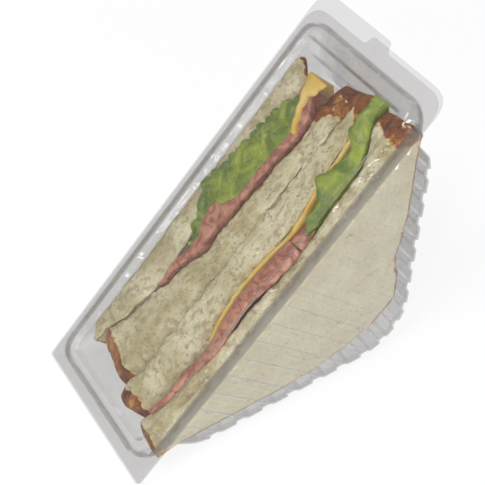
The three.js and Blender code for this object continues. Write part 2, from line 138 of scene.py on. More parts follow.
# The faces of the slices: each pair is a share of the mouth's length and a share of the tub's half width.
HALF_GAP = 0.06
seam = face_track((0.036, 0.018), (0.162, -0.048), (0.541, -0.054), (0.914, -0.097))
slice1_inner = layered(
    lambda z: inner_half(z) - BREAD,
    face_track(
        (0.047, 0.86), (0.11, 0.80), (0.19, 0.665), (0.288, 0.568),
        (0.541, 0.683), (0.828, 0.653), (0.914, 0.695),
    ),
)
slice2_outer = layered(
    lambda z: BREAD,
    face_track(
        (0.047, 0.852), (0.11, 0.792), (0.19, 0.657), (0.254, 0.588), (0.323, 0.46), (0.449, 0.314),
        (0.656, 0.266), (0.77, 0.212), (0.816, 0.23), (0.856, 0.378),
    ),
)


def seam_line(s):
    """The line along which slices 2 and 3 touch, with a slow and a quick wander."""
    slow = 0.9 * noise.noise(Vector((s * 0.16, 0, 0)))
    quick = 0.4 * noise.noise(Vector((s * 0.5, 3, 0)))
    return seam(s) + slow + quick


slice2_inner = layered(lambda z: HALF_GAP, lambda s: seam_line(s) + HALF_GAP)
slice3_inner = layered(lambda z: -HALF_GAP, lambda s: seam_line(s) - HALF_GAP)
slice3_outer = layered(
    lambda z: -BREAD,
    face_track(
        (0.036, -0.454), (0.15, -0.556), (0.242, -0.556), (0.437, -0.429),
        (0.621, -0.502), (0.759, -0.399), (0.943, -0.302),
    ),
)
slice4_inner = layered(
    lambda z: BREAD - inner_half(z),
    face_track(
        (0.036, -0.514), (0.15, -0.641), (0.254, -0.689), (0.38, -0.75),
        (0.587, -0.792), (0.793, -0.756), (0.943, -0.46),
    ),
)


# Meshes.


def new_object(name, vertices, faces, material, attributes=None, smooth=True):
    mesh = bpy.data.meshes.new(name)
    mesh.from_pydata(vertices, [], faces)
    mesh.validate()
    for key, values in (attributes or {}).items():
        layer = mesh.attributes.new(key, "FLOAT", "POINT")
        layer.data.foreach_set("value", values)
    mesh.polygons.foreach_set("use_smooth", [smooth] * len(mesh.polygons))
    mesh.materials.append(material)
    obj = bpy.data.objects.new(name, mesh)
    bpy.context.scene.collection.objects.link(obj)
    return obj


def bread_slice(name, outer, inner, shape, corner, material):
    """A half slice as a fine closed surface with a torn cut face, pores and a crust.

    shape holds tracks over w, which runs from 0 on the outer face to 1 on the inner one.
    """
    level, start, end = corner
    columns, rows, across = 200, 84, 24
    start_in, end_in = track(start), track(end)
    seed = shape["seed"]
    offset = Vector((seed * 37.0, seed * 11.0, seed * 5.0))
    vertices, attributes = [], {"crust": [], "cut": [], "deep": []}

    def ends_at(z, w):
        top = ramp(z, CUT_LEVEL - TRIM_DEPTH, CUT_LEVEL)
        first = mix(shape["ends"][0], shape["start"](w), top)
        last = mix(shape["ends"][1], shape["end"](w), top)
        s0 = max(rest_a(z), first) + start_in(z - level)
        s1 = min(rest_b(z), last) - end_in(z - level)
        return s0, s1

    def point(u, w, z, cap):
        """u along the slice, w across it from its outer to its inner face."""
        s0, s1 = ends_at(z, w)
        s = mix(s0, s1, u)
        rim = min(s - s0, s1 - s)
        low = max(CRUST_ROUND - (z - level), 0) if cap != "top" else 0
        off = clamp(math.hypot(max(CRUST_ROUND - rim, 0), low), 0, CRUST_ROUND)
        rounding = CRUST_ROUND - math.sqrt(CRUST_ROUND**2 - off**2)
        a, b = outer(s, z), inner(s, z)
        middle, half = (a + b) / 2, (a - b) / 2
        rounded_half = max(abs(half) - rounding, abs(half) * CORE_SHARE)
        y = middle + math.copysign(rounded_half, half) * (1 - 2 * w)
        base = Vector((s, y, z))
        pores = noise.fractal(base * 0.42 + offset, 0.7, 2.1, 4)
        surface = ramp(z, CUT_LEVEL - TORN_DEPTH, CUT_LEVEL)
        dome = 0
        patch = shape["start_patch"](w) if s - s0 < s1 - s else shape["end_patch"](w)
        if surface > 0:
            rounded = (1 - clamp(rim / (patch + 1.5), 0, 1)) ** 2
            side = shape["last_edge"](s) if w > 0.5 else shape["first_edge"](s)
            dome = (1 - clamp(min(w, 1 - w) / EDGE_SHARE, 0, 1)) ** 2 * side
            lumps = noise.noise(base * 0.1 + offset) * 1.1 + noise.noise(base * 0.24 + offset) * 0.5
            tear = shape["torn"] * (lumps + 0.6 * pores) * (1 - 0.7 * rounded)
            base.z += surface * (clamp(tear, TEAR_LOW, TEAR_HIGH) - 0.4 - dome - shape["fall"] * rounded)
        side_grain = clamp(pores * 0.45 + 0.05, 0, 0.6)
        if w in (0, 1) and cap == "side":
            base.y -= math.copysign(side_grain, y - middle)
        if cap == "side" and 0 < w < 1:
            base.x += math.copysign(0.35 * noise.noise(base * 0.3 + offset), s - (s0 + s1) / 2)
        if cap == "bottom":
            base.z += 0.25 - 0.35 * noise.noise(base * 0.3 + offset)
        ragged = 1.6 * noise.noise(base * 0.35 + offset) + 0.8 * noise.noise(base * 0.9 + offset)
        if cap == "top":
            crusty = 1 - ramp(rim, patch - 0.8 + ragged, patch + 0.8 + ragged)
        elif 0 < w < 1 or cap == "bottom":
            crusty = 1.0
        else:
            width = mix(SIDE_CRUST, patch, surface**2)
            crusty = 1 - ramp(min(rim, z - level), width * 0.6, width + 0.8)
        vertices.append(to_row(*base))
        attributes["crust"].append(crusty)
        attributes["cut"].append(1.0 if cap == "top" else 0.0)
        # deep holds painted shade: more where the torn surface sinks with the pores and where the slice
        # dips at its edges.
        attributes["deep"].append(clamp(0.5 - pores * 1.1 + 0.14 * dome, 0, 1))
        return len(vertices) - 1

    def eased(i, n):
        return (1 - math.cos(math.pi * i / n)) / 2 * 0.4 + i / n * 0.6

    us = [eased(i, columns - 1) for i in range(columns)]
    ws = [i / (across - 1) for i in range(across)]
    rim_path = [(u, 0.0) for u in us] + [(1.0, w) for w in ws[1:-1]]
    rim_path += [(u, 1.0) for u in reversed(us)] + [(0.0, w) for w in reversed(ws[1:-1])]
    count = len(rim_path)

    def border(grid):
        ring = [line[0] for line in grid] + grid[-1][1:-1]
        return ring + [line[-1] for line in reversed(grid)] + grid[0][-2:0:-1]

    def close(grid):
        for line, following in zip(grid, grid[1:]):
            for j in range(across - 1):
                faces.append((line[j], line[j + 1], following[j + 1], following[j]))

    faces = []
    top = [[point(u, w, CUT_LEVEL, "top") for w in ws] for u in us]
    close(top)
    ring = border(top)
    for row in range(1, rows + 1):
        z = mix(CUT_LEVEL, level, eased(row, rows))
        if row < rows:
            below = [point(u, w, z, "side") for u, w in rim_path]
        else:
            bottom = [[point(u, w, z, "bottom") for w in ws] for u in us]
            close(bottom)
            below = border(bottom)
        for k in range(count):
            m = (k + 1) % count
            faces.append((ring[k], ring[m], below[m], below[k]))
        ring = below
    obj = new_object(name, vertices, faces, material, attributes)
    mend_normals(obj)
    return obj


def mend_normals(obj):
    work = bmesh.new()
    work.from_mesh(obj.data)
    bmesh.ops.recalc_face_normals(work, faces=work.faces)
    work.to_mesh(obj.data)
    work.free()


def food_sheet(name, size, thickness, place, material, seed, ruffle=0.25, ragged=0.5):
    """A closed sheet round the middle surface place(s, t), t running from 0 deep to 1 free."""
    first, last = along(size["from"]), along(size["to"])
    stations, steps = size.get("fine", (150, 44))
    offset = Vector((seed * 17.0, seed * 3.0, seed * 29.0))
    middle = []
    for i in range(stations + 1):
        line = []
        for k in range(steps + 1):
            t = k / steps
            s = mix(first, last, i / stations)
            edge = ragged * noise.noise(Vector((s * 0.35, 0, 0)) + offset)
            y, z = place(s, t)
            z += edge * t**6
            swell = ruffle * noise.noise(Vector((s * 0.12, y * 0.2, z * 0.12)) + offset)
            line.append(Vector((s, y + swell * t, z)))
        middle.append(line)
    vertices, faces, edge_values = [], [], []
    index = {}
    for side in (1, -1):
        for i, line in enumerate(middle):
            for k, p in enumerate(line):
                ds = middle[min(i + 1, stations)][k] - middle[max(i - 1, 0)][k]
                dt = line[min(k + 1, steps)] - line[max(k - 1, 0)]
                normal = ds.cross(dt).normalized()
                rim = min(k, steps - k, i, stations - i)
                here = thickness / 2 * (0.45 if rim == 0 else 0.85 if rim == 1 else 1)
                grain = 0.08 * noise.noise(p * 1.1 + offset * side)
                q = p + normal * (here + grain) * side
                index[side, i, k] = len(vertices)
                vertices.append(to_row(*q))
                edge_values.append(ramp(k / steps, 0.75, 1.0))
    for side in (1, -1):
        for i in range(stations):
            for k in range(steps):
                quad = [index[side, i, k], index[side, i + 1, k]]
                quad += [index[side, i + 1, k + 1], index[side, i, k + 1]]
                faces.append(tuple(quad if side == 1 else reversed(quad)))
    border = [(i, 0) for i in range(stations)] + [(stations, k) for k in range(steps)]
    border += [(i, steps) for i in range(stations, 0, -1)] + [(0, k) for k in range(steps, 0, -1)]
    for a, b in zip(border, border[1:] + border[:1]):
        faces.append((index[1, *a], index[-1, *a], index[-1, *b], index[1, *b]))
    obj = new_object(name, vertices, faces, material, {"edge": edge_values})
    mend_normals(obj)
    return obj


def corner_rise(size):
    """How much higher the deep edge of a sheet ends towards its two rounded corners."""
    first, last, corner = along(size["from"]), along(size["to"]), size["corner"]
    return track([(first, corner), (first + corner, 0), (last - corner, 0), (last, corner)])


def flat_place(size, face, distance, top):
    """A sheet that lies flat at a distance from face(s, z)."""
    rise = corner_rise(size)

    def place(s, t):
        z = mix(layer_floor(s, size["deep"] + rise(s)), top(s), t)
        return face(s, z) + distance, z

    return place


# Materials.


class Nodes:
    """A short way to write node trees."""

    def __init__(self, name):
        self.material = bpy.data.materials.new(name)
        self.material.use_nodes = True
        self.tree = self.material.node_tree
        self.tree.nodes.clear()
        self.output = self.tree.nodes.new("ShaderNodeOutputMaterial")

    def add(self, kind, inputs=None, **settings):
        node = self.tree.nodes.new("ShaderNode" + kind)
        for key, value in settings.items():
            setattr(node, key, value)
        for key, value in (inputs or {}).items():
            self.set(node, key, value)
        return node

    def set(self, node, key, value):
        socket = node.inputs[key]
        if isinstance(value, bpy.types.NodeSocket):
            self.tree.links.new(value, socket)
        elif isinstance(value, bpy.types.Node):
            self.tree.links.new(value.outputs[0], socket)
        elif isinstance(value, (tuple, list)) and len(value) == 3 and socket.type == "RGBA":
            socket.default_value = (*value, 1)
        else:
            socket.default_value = value

    def place(self):
        return self.add("TexCoord").outputs["Object"]

    def attribute(self, name):
        return self.add("Attribute", attribute_name=name).outputs["Fac"]

    def math(self, operation, a, b=0.0, c=0.0):
        node = self.add("Math", operation=operation)
        for i, value in enumerate((a, b, c)):
            self.set(node, i, value)
        return node.outputs[0]

    def noise(self, scale, detail=4.0, roughness=0.6, distortion=0.0, vector=None):
        inputs = {"Vector": vector or self.place(), "Scale": scale, "Detail": detail}
        inputs.update({"Roughness": roughness, "Distortion": distortion})
        return self.add("TexNoise", inputs).outputs["Fac"]

    def voronoi(self, scale, vector=None, feature="F1"):
        inputs = {"Vector": vector or self.place(), "Scale": scale}
        return self.add("TexVoronoi", inputs, feature=feature).outputs["Distance"]

    def step(self, value, low, high):
        node = self.add("MapRange", {"Value": value, "From Min": low, "From Max": high})
        node.interpolation_type = "SMOOTHSTEP"
        return node.outputs[0]

    def blend(self, factor, a, b):
        node = self.add("Mix", data_type="RGBA")
        self.set(node, 0, factor)
        self.set(node, 6, a)
        self.set(node, 7, b)
        return node.outputs[2]

    def bump(self, height, strength, distance):
        inputs = {"Height": height, "Strength": strength, "Distance": distance}
        return self.add("Bump", inputs).outputs[0]

    def finish(self, shader):
        self.tree.links.new(shader.outputs[0], self.output.inputs["Surface"])
        return self.material


def soften(shader, weight, radius, scale):
    """Lets light in under the surface of a food, so that it comes out again nearby."""
    shader.inputs["Subsurface Weight"].default_value = weight
    shader.inputs["Subsurface Radius"].default_value = radius
    shader.inputs["Subsurface Scale"].default_value = scale


def bread_material():
    n = Nodes("bread")
    place = n.place()
    crust, cut, deep = n.attribute("crust"), n.attribute("cut"), n.attribute("deep")
    fine = n.noise(1500, 5, 0.75, vector=place)
    grain = n.noise(620, 4, 0.7, vector=place)
    broad = n.noise(70, 3, 0.5, vector=place)
    pore = n.step(n.voronoi(620, vector=place), 0.42, 0.1)
    pore = n.math("MULTIPLY", pore, n.step(n.noise(300, 3, vector=place), 0.4, 0.62))
    face = n.blend(n.step(broad, 0.3, 0.7), (0.65, 0.59, 0.39), (0.73, 0.68, 0.475))
    torn = n.blend(n.step(broad, 0.3, 0.7), (0.55, 0.48, 0.255), (0.83, 0.775, 0.54))
    crumb = n.blend(cut, face, torn)
    crumb = n.blend(n.math("MULTIPLY", n.step(grain, 0.5, 0.68), 0.28), crumb, (0.55, 0.47, 0.30))
    crumb = n.blend(n.math("MULTIPLY", n.step(fine, 0.55, 0.75), 0.3), crumb, (0.50, 0.40, 0.23))
    # Painted shade: the crumb is darkened in its pores, more on the torn cut face.
    pore_shade = n.math("MULTIPLY", pore, n.math("MULTIPLY_ADD", cut, 0.22, 0.1))
    crumb = n.blend(pore_shade, crumb, (0.36, 0.27, 0.13))
    # Painted shade on the cut face, from deep: darker in its dips and in the valleys between the slices.
    shade = n.math("MULTIPLY", n.step(deep, 0.5, 1.0), cut)
    crumb = n.blend(n.math("MULTIPLY", shade, 0.6), crumb, (0.44, 0.35, 0.2))
    speck_spot = n.step(n.voronoi(300, vector=place), 0.15, 0.08)
    speck_rare = n.step(n.noise(120, 2, vector=place), 0.56, 0.6)
    speck = n.math("MULTIPLY", speck_spot, speck_rare)
    crumb = n.blend(n.math("MULTIPLY", speck, 0.85), crumb, (0.36, 0.17, 0.05))
    toast = n.noise(95, 5, 0.7, 0.8, vector=place)
    baked = n.blend(n.step(toast, 0.34, 0.5), (0.66, 0.36, 0.085), (0.30, 0.09, 0.016))
    baked = n.blend(n.step(toast, 0.47, 0.66), baked, (0.085, 0.02, 0.007))
    rind = n.blend(n.step(crust, 0.6, 1.0), (0.78, 0.53, 0.22), baked)
    ragged = n.math("ADD", crust, n.math("MULTIPLY_ADD", fine, 0.5, -0.25))
    colour = n.blend(n.step(ragged, 0.3, 0.62), crumb, rind)
    height = n.math("ADD", n.math("MULTIPLY", fine, 0.5), n.math("MULTIPLY", pore, -0.9))
    height = n.math("ADD", height, n.math("MULTIPLY", grain, 0.9))
    tufts = n.math("MULTIPLY", n.noise(260, 4, 0.6, vector=place), n.math("MULTIPLY_ADD", cut, 2.6, 0.5))
    height = n.math("ADD", height, tufts)
    normal = n.bump(height, 0.9, 0.0008)
    rough = n.math("MULTIPLY_ADD", crust, -0.35, 0.9)
    shader = n.add("BsdfPrincipled", {"Base Color": colour, "Roughness": rough, "Normal": normal})
    soften(shader, 0.1, (1.0, 0.7, 0.4), 0.001)
    shader.inputs["Specular IOR Level"].default_value = 0.25
    return n.finish(shader)


def ham_material():
    n = Nodes("ham")
    place = n.place()
    broad = n.noise(190, 5, 0.65, 1.6, vector=place)
    fine = n.noise(900, 4, 0.6, vector=place)
    colour = n.blend(n.step(broad, 0.4, 0.6), (0.28, 0.085, 0.05), (0.52, 0.25, 0.165))
    colour = n.blend(n.math("MULTIPLY", n.step(fine, 0.55, 0.75), 0.4), colour, (0.62, 0.34, 0.21))
    normal = n.bump(fine, 0.3, 0.0004)
    shader = n.add("BsdfPrincipled", {"Base Color": colour, "Normal": normal})
    shader.inputs["Roughness"].default_value = 0.34
    soften(shader, 0.25, (1.0, 0.35, 0.25), 0.0012)
    return n.finish(shader)


def cheese_material():
    n = Nodes("cheese")
    place = n.place()
    broad = n.noise(120, 3, 0.5, vector=place)
    fine = n.noise(700, 4, 0.6, vector=place)
    colour = n.blend(n.step(broad, 0.35, 0.65), (0.66, 0.42, 0.06), (0.74, 0.55, 0.16))
    normal = n.bump(fine, 0.25, 0.0004)
    shader = n.add("BsdfPrincipled", {"Base Color": colour, "Normal": normal})
    shader.inputs["Roughness"].default_value = 0.45
    soften(shader, 0.25, (1.0, 0.6, 0.2), 0.0012)
    return n.finish(shader)


def lettuce_material():
    n = Nodes("lettuce")
    place = n.place()
    edge = n.attribute("edge")
    broad = n.noise(110, 4, 0.6, 0.8, vector=place)
    vein = n.step(n.voronoi(230, vector=place, feature="DISTANCE_TO_EDGE"), 0.07, 0.0)
    fine = n.noise(800, 4, 0.6, vector=place)
    leaf = n.blend(n.step(broad, 0.38, 0.62), (0.09, 0.155, 0.005), (0.27, 0.34, 0.015))
    leaf = n.blend(n.math("MULTIPLY", vein, 0.35), leaf, (0.38, 0.43, 0.05))
    colour = n.blend(n.math("MULTIPLY", edge, 0.55), leaf, (0.07, 0.14, 0.005))
    normal = n.bump(n.math("ADD", fine, n.math("MULTIPLY", vein, 1.5)), 0.35, 0.0004)
    shader = n.add("BsdfPrincipled", {"Base Color": colour, "Normal": normal})
    shader.inputs["Roughness"].default_value = 0.38
    soften(shader, 0.15, (0.5, 1.0, 0.2), 0.001)
    return n.finish(shader)


def seed_material():
    n = Nodes("seed")
    shader = n.add("BsdfPrincipled", {"Base Color": (0.62, 0.47, 0.26)})
    shader.inputs["Roughness"].default_value = 0.5
    return n.finish(shader)


def plastic_material():
    """Thin clear sheet: it tints more where it is seen edge on, and mirrors lamps and sky."""
    clear_tint, edge_tint = (0.91, 0.905, 0.905), (0.42, 0.43, 0.42)
    least_mirror, added_mirror = 0.014, 0.85
    n = Nodes("clear_plastic")
    facing = n.add("LayerWeight", {"Blend": 0.5}).outputs["Facing"]
    tint = n.blend(n.math("POWER", facing, 2.0), clear_tint, edge_tint)
    waves = n.bump(n.noise(100, 2, 0.5, 0.6), 0.9, 0.002)
    through = n.add("BsdfTransparent", {"Color": tint})
    gloss = n.add("BsdfGlossy", {"Color": (1, 1, 1), "Roughness": 0.06, "Normal": waves})
    mirror = n.math("MULTIPLY_ADD", n.math("POWER", facing, 3.0), added_mirror, least_mirror)
    return n.finish(n.add("MixShader", {0: mirror, 1: through, 2: gloss}))


bread_look = bread_material()
ham_look = ham_material()
cheese_look = cheese_material()
lettuce_look = lettuce_material()
seed_look = seed_material()
plastic_look = plastic_material()


# The food. A loaf corner is the slice's lowest level, then how far its two ends draw in over the height.

REST_LEVEL = (rest_a(0) - rest_b(0)) / 2
SQUARE_END = [(0, 5), (4, 1.6), (10, 0.2), (16, 0)]
SQUARE = (REST_LEVEL + 7.9, SQUARE_END, SQUARE_END)
CROWN = (
    REST_LEVEL + 15.9,
    [(0, 21), (3, 14), (8, 7), (16, 1.6), (26, 0)],
    [(0, 3), (3, 0.4), (10, 0.6), (18, 3.6), (22, 4.4), (28, 2), (36, 0)],
)


def wall(side):
    return lambda s, z: side * inner_half(z)


def stand_for(obj, node):
    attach(obj, "tub")
    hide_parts(node)


def flat(value):
    return lambda position: value


seam_depth = track([(14, 4.4), (60, 4.2), (90, 2.6), (112, 0.9), (140, 0.5)])
slice_shapes = {
    "slice_1": {
        "seed": 1, "torn": 0.7, "fall": 1.8, "first_edge": flat(0.8), "ends": (17, 154),
        "last_edge": flat(1.2),
        "start": track([(0, 22), (1, 17)]), "end": track([(0, 164.5), (1, 160)]),
        "start_patch": flat(1.2), "end_patch": flat(1.2),
    },
    "slice_2": {
        "seed": 2, "torn": 1.0, "fall": 3.6, "first_edge": flat(1.6), "ends": (15, 170),
        "last_edge": seam_depth,
        "start": track([(0, 19.5), (1, 15.5)]), "end": track([(0, 155), (1, 168)]),
        "start_patch": track([(0, 7.5), (0.6, 7), (1, 7.5)]),
        "end_patch": track([(0, 6), (0.5, 9.5), (1, 12)]),
    },
    "slice_3": {
        "seed": 3, "torn": 1.0, "fall": 3.4, "first_edge": seam_depth, "ends": (13, 170),
        "last_edge": flat(1.0),
        "start": track([(0, 13.4), (1, 10.5)]), "end": track([(0, 168.5), (1, 170.5)]),
        "start_patch": track([(0, 5.5), (0.6, 7.5), (1, 7)]),
        "end_patch": track([(0, 11), (1, 7.5)]),
    },
    "slice_4": {
        "seed": 4, "torn": 0.8, "fall": 3.0, "first_edge": flat(1.0), "ends": (13, 171),
        "last_edge": flat(0.8),
        "start": track([(0, 10.5), (1, 9.5)]), "end": track([(0, 170), (1, 172)]),
        "start_patch": flat(4.2), "end_patch": track([(0, 6), (1, 11)]),
    },
}

SEEDS_PER_AREA = 18000  # each square metre
SEED_LENGTH = 1.7
SEED_WIDTH_SHARE, SEED_HEIGHT_SHARE = 0.6, 0.35
CRUST_ENOUGH = 0.8  # seeds stand only where the crust attribute is above this


def seeds_on(bread, name, centre, within, seed):
    """Pale seeds scattered over the crust of a slice by Geometry Nodes, then kept as a plain mesh."""
    tree = bpy.data.node_groups.new("seeds", "GeometryNodeTree")
    tree.interface.new_socket("Geometry", in_out="INPUT", socket_type="NodeSocketGeometry")
    for key, value in (("Density", SEEDS_PER_AREA), ("Seed Length", SEED_LENGTH * MM)):
        socket = tree.interface.new_socket(key, in_out="INPUT", socket_type="NodeSocketFloat")
        socket.default_value = value
    tree.interface.new_socket("Geometry", in_out="OUTPUT", socket_type="NodeSocketGeometry")
    add, link = tree.nodes.new, tree.links.new
    source, target = add("NodeGroupInput"), add("NodeGroupOutput")
    crust = add("GeometryNodeInputNamedAttribute")
    crust.data_type = "FLOAT"
    crust.inputs["Name"].default_value = "crust"
    near = add("GeometryNodeProximity")
    near.target_element = "POINTS"
    spot = add("GeometryNodePoints")
    spot.inputs["Position"].default_value = to_row(*centre)
    inside = add("FunctionNodeCompare")
    inside.operation = "LESS_THAN"
    inside.inputs["B"].default_value = within * MM
    both = add("FunctionNodeBooleanMath")
    crusty = add("FunctionNodeCompare")
    crusty.inputs["B"].default_value = CRUST_ENOUGH
    scatter = add("GeometryNodeDistributePointsOnFaces")
    scatter.inputs["Seed"].default_value = seed
    grain = add("GeometryNodeMeshUVSphere")
    grain.inputs["Segments"].default_value = 12
    grain.inputs["Rings"].default_value = 8
    grain.inputs["Radius"].default_value = 0.5
    place = add("GeometryNodeInstanceOnPoints")
    flat_scale = add("ShaderNodeCombineXYZ")
    narrow, thin = add("ShaderNodeMath"), add("ShaderNodeMath")
    for node, share in ((narrow, SEED_WIDTH_SHARE), (thin, SEED_HEIGHT_SHARE)):
        node.operation = "MULTIPLY"
        node.inputs[1].default_value = share
    real = add("GeometryNodeRealizeInstances")
    paint = add("GeometryNodeSetMaterial")
    paint.inputs["Material"].default_value = seed_look
    link(spot.outputs[0], near.inputs[0])
    link(near.outputs["Distance"], inside.inputs["A"])
    link(next(out for out in crust.outputs if out.enabled), crusty.inputs["A"])
    link(inside.outputs[0], both.inputs[0])
    link(crusty.outputs[0], both.inputs[1])
    link(source.outputs["Geometry"], scatter.inputs["Mesh"])
    link(both.outputs[0], scatter.inputs["Selection"])
    link(source.outputs["Density"], scatter.inputs["Density"])
    for node in (narrow, thin):
        link(source.outputs["Seed Length"], node.inputs[0])
    link(source.outputs["Seed Length"], flat_scale.inputs["X"])
    link(narrow.outputs[0], flat_scale.inputs["Y"])
    link(thin.outputs[0], flat_scale.inputs["Z"])
    link(scatter.outputs["Points"], place.inputs["Points"])
    link(scatter.outputs["Rotation"], place.inputs["Rotation"])
    link(grain.outputs[0], place.inputs["Instance"])
    link(flat_scale.outputs[0], place.inputs["Scale"])
    link(place.outputs[0], real.inputs[0])
    link(real.outputs[0], paint.inputs[0])
    link(paint.outputs[0], target.inputs[0])
    modifier = bread.modifiers.new("seeds", "NODES")
    modifier.node_group = tree
    evaluated = bread.evaluated_get(bpy.context.evaluated_depsgraph_get())
    grown = bpy.data.meshes.new_from_object(evaluated)
    bread.modifiers.remove(modifier)
    obj = bpy.data.objects.new(name, grown)
    bpy.context.scene.collection.objects.link(obj)
    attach(obj, "tub")


slices = [
    ("slice_1", wall(1), slice1_inner, SQUARE),
    ("slice_2", slice2_outer, slice2_inner, SQUARE),
    ("slice_3", slice3_outer, slice3_inner, CROWN),
    ("slice_4", slice4_inner, wall(-1), CROWN),
]
breads = {}
for name, outer, inner, corner in slices:
    breads[name] = bread_slice(name, outer, inner, slice_shapes[name], corner, bread_look)
    stand_for(breads[name], "bread_" + name)
seed_places = [
    ("slice_2", (18, 12, -5), 7),
    ("slice_2", (163, 6, -5), 9),
    ("slice_3", (12, -4, -5), 9),
    ("slice_4", (171, -22, -6), 9),
]
for number, (name, centre, within) in enumerate(seed_places, 1):
    seeds_on(breads[name], f"seeds_{number}", centre, within, number)

HAM_OFF = LAYER_GAP + HAM / 2
CHEESE_OFF = LAYER_GAP + CHEESE / 2
OVER_HAM = HAM_OFF + HAM / 2
OVER_CHEESE = CHEESE_OFF + CHEESE / 2
STEM_ONE_OFF, STEM_TWO_OFF = 1.4, 1.3  # from the layer beside each lettuce leaf


def ham_by_cheese(s, z):
    """The middle surface of the ham that lies against the cheese on slice 3."""
    return slice3_outer(s, z) - OVER_CHEESE - HAM_OFF


def draped(size, base, width, top, rise, fall, bend=0.6):
    """A sheet that stands up along base(s, z) and then leans over by width(s)."""
    corners = corner_rise(size)

    def place(s, t):
        z = mix(layer_floor(s, size["deep"] + corners(s)), top(s), min(t / bend, 1))
        y = base(s, min(z, CUT_LEVEL))
        if t > bend:
            q = (t - bend) / (1 - bend)
            y += width(s) * math.sin(q * math.pi / 2)
            z += rise * math.sin(math.pi * 0.75 * q) - fall * q * q
        return y, z

    return place


def ham_one():
    size = {"from": 0.288, "to": 0.874, "deep": -52, "corner": 12, "fine": (200, 56)}
    width = length_track(
        (0.288, 0.6), (0.38, 2.6), (0.449, 3.6), (0.489, 7.4), (0.524, 8.6),
        (0.546, 4.2), (0.581, 1.8), (0.684, 2.2), (0.776, 3.2), (0.828, 5.6), (0.874, 6.6),
    )
    top = length_track(
        (0.288, -5), (0.346, -3.4), (0.506, -2.4), (0.598, -3.2), (0.828, -3.4), (0.874, -3.6),
    )
    place = draped(size, lambda s, z: slice2_outer(s, z) + HAM_OFF, width, top, 0.5, 0.7)
    return food_sheet("ham_one", size, HAM_SHEET, place, ham_look, 11)


def ham_two():
    size = {"from": 0.598, "to": 0.908, "deep": -38, "corner": 9, "fine": (120, 50)}
    width = length_track((0.598, -5), (0.684, -3.2), (0.77, -2.4), (0.839, -1.4), (0.908, -0.6))
    top = length_track((0.598, -3.6), (0.66, -4.6), (0.908, -4.8))
    place = draped(size, ham_by_cheese, width, top, 0.2, 1.8)
    return food_sheet("ham_two", size, HAM_SHEET, place, ham_look, 12)


def ham_three():
    size = {"from": 0.082, "to": 0.599, "deep": -36, "corner": 9, "fine": (220, 60)}
    near = length_track((0.082, 2.9), (0.208, 2.4), (0.3, 0))
    width = length_track(
        (0.082, -1), (0.162, -1.8), (0.254, -2.6), (0.334, -4.4),
        (0.426, -5.4), (0.518, -7), (0.569, -7.4), (0.592, -6.2),
    )
    top = length_track(
        (0.082, -4.2), (0.162, -3.4), (0.311, -3), (0.495, -2.4), (0.564, -1.8), (0.592, -2.8),
    )
    place = draped(size, lambda s, z: ham_by_cheese(s, z) + near(s), width, top, 1.0, 1.7)
    return food_sheet("ham_three", size, THICK_HAM_SHEET, place, ham_look, 13)


def cheese_one():
    size = {"from": 0.77, "to": 0.9, "deep": -26, "corner": 0.1, "fine": (90, 50)}
    left = length_track((0.77, 10), (0.799, 12.8), (0.828, 15.4), (0.862, 18.2), (0.897, 20))
    width = length_track((0.77, -0.8), (0.828, -1), (0.851, -2), (0.874, -5.6), (0.897, -8.5))
    place = draped(size, lambda s, z: left(s), width, lambda s: CUT_LEVEL + 1.2, 0.2, 1.2)
    return food_sheet("cheese_one", size, CHEESE, place, cheese_look, 21, 0.1)


def cheese_two():
    size = {"from": 0.592, "to": 0.937, "deep": -44, "corner": 10, "fine": (140, 40)}
    top = length_track((0.592, -3.4), (0.644, -2.4), (0.885, -2.2), (0.937, -3))
    place = flat_place(size, slice3_outer, -CHEESE_OFF, top)
    return food_sheet("cheese_two", size, CHEESE, place, cheese_look, 22, 0.1)


def cheese_three():
    size = {"from": 0.305, "to": 0.61, "deep": -40, "corner": 8, "fine": (120, 40)}
    top = length_track((0.305, -4.4), (0.346, -3), (0.541, -2.2), (0.61, -3.2))
    place = flat_place(size, slice3_outer, -CHEESE_OFF, top)
    return food_sheet("cheese_three", size, CHEESE, place, cheese_look, 23, 0.1)


def lettuce_one():
    size = {"from": 0.414, "to": 0.845, "deep": -34, "corner": 10, "fine": (420, 60)}
    width = length_track(
        (0.414, 5), (0.46, 8.5), (0.495, 13), (0.524, 15.5), (0.546, 18), (0.569, 16),
        (0.61, 14.5), (0.656, 13.6), (0.742, 13.2), (0.805, 11), (0.845, 5),
    )
    top = length_track((0.414, -6), (0.472, -4), (0.564, -2.8), (0.805, -3), (0.845, -4.6))

    def stem(s, z):
        return slice2_outer(s, z) + OVER_HAM + STEM_ONE_OFF

    leaf = draped(size, stem, width, top, 1.9, 1.6, 0.4)
    comb = length_track((0.529, 0.2), (0.569, 1.7), (0.828, 1.5))

    def place(s, t):
        y, z = leaf(s, t)
        teeth = 1.4 * abs(math.sin(s * 0.72 + 0.5 * math.sin(s * 0.37))) ** 0.6
        y += comb(s) * teeth * ramp(t, 0.75, 1.0)
        z += 0.5 * math.sin(s * 0.55 + 5 * t) * ramp(t, 0.4, 0.8)
        z += (1 - comb(s) / 1.9) * 1.2 * math.sin(s * 0.8 + 3 * t) * ramp(t, 0.5, 0.9)
        z += 0.35 * math.sin(y * 1.3 + 2.0 * math.sin(s * 0.5)) * ramp(t, 0.5, 0.7)
        return y, z

    return food_sheet("lettuce_one", size, LETTUCE_SHEET, place, lettuce_look, 31, 0.4, 0.4)


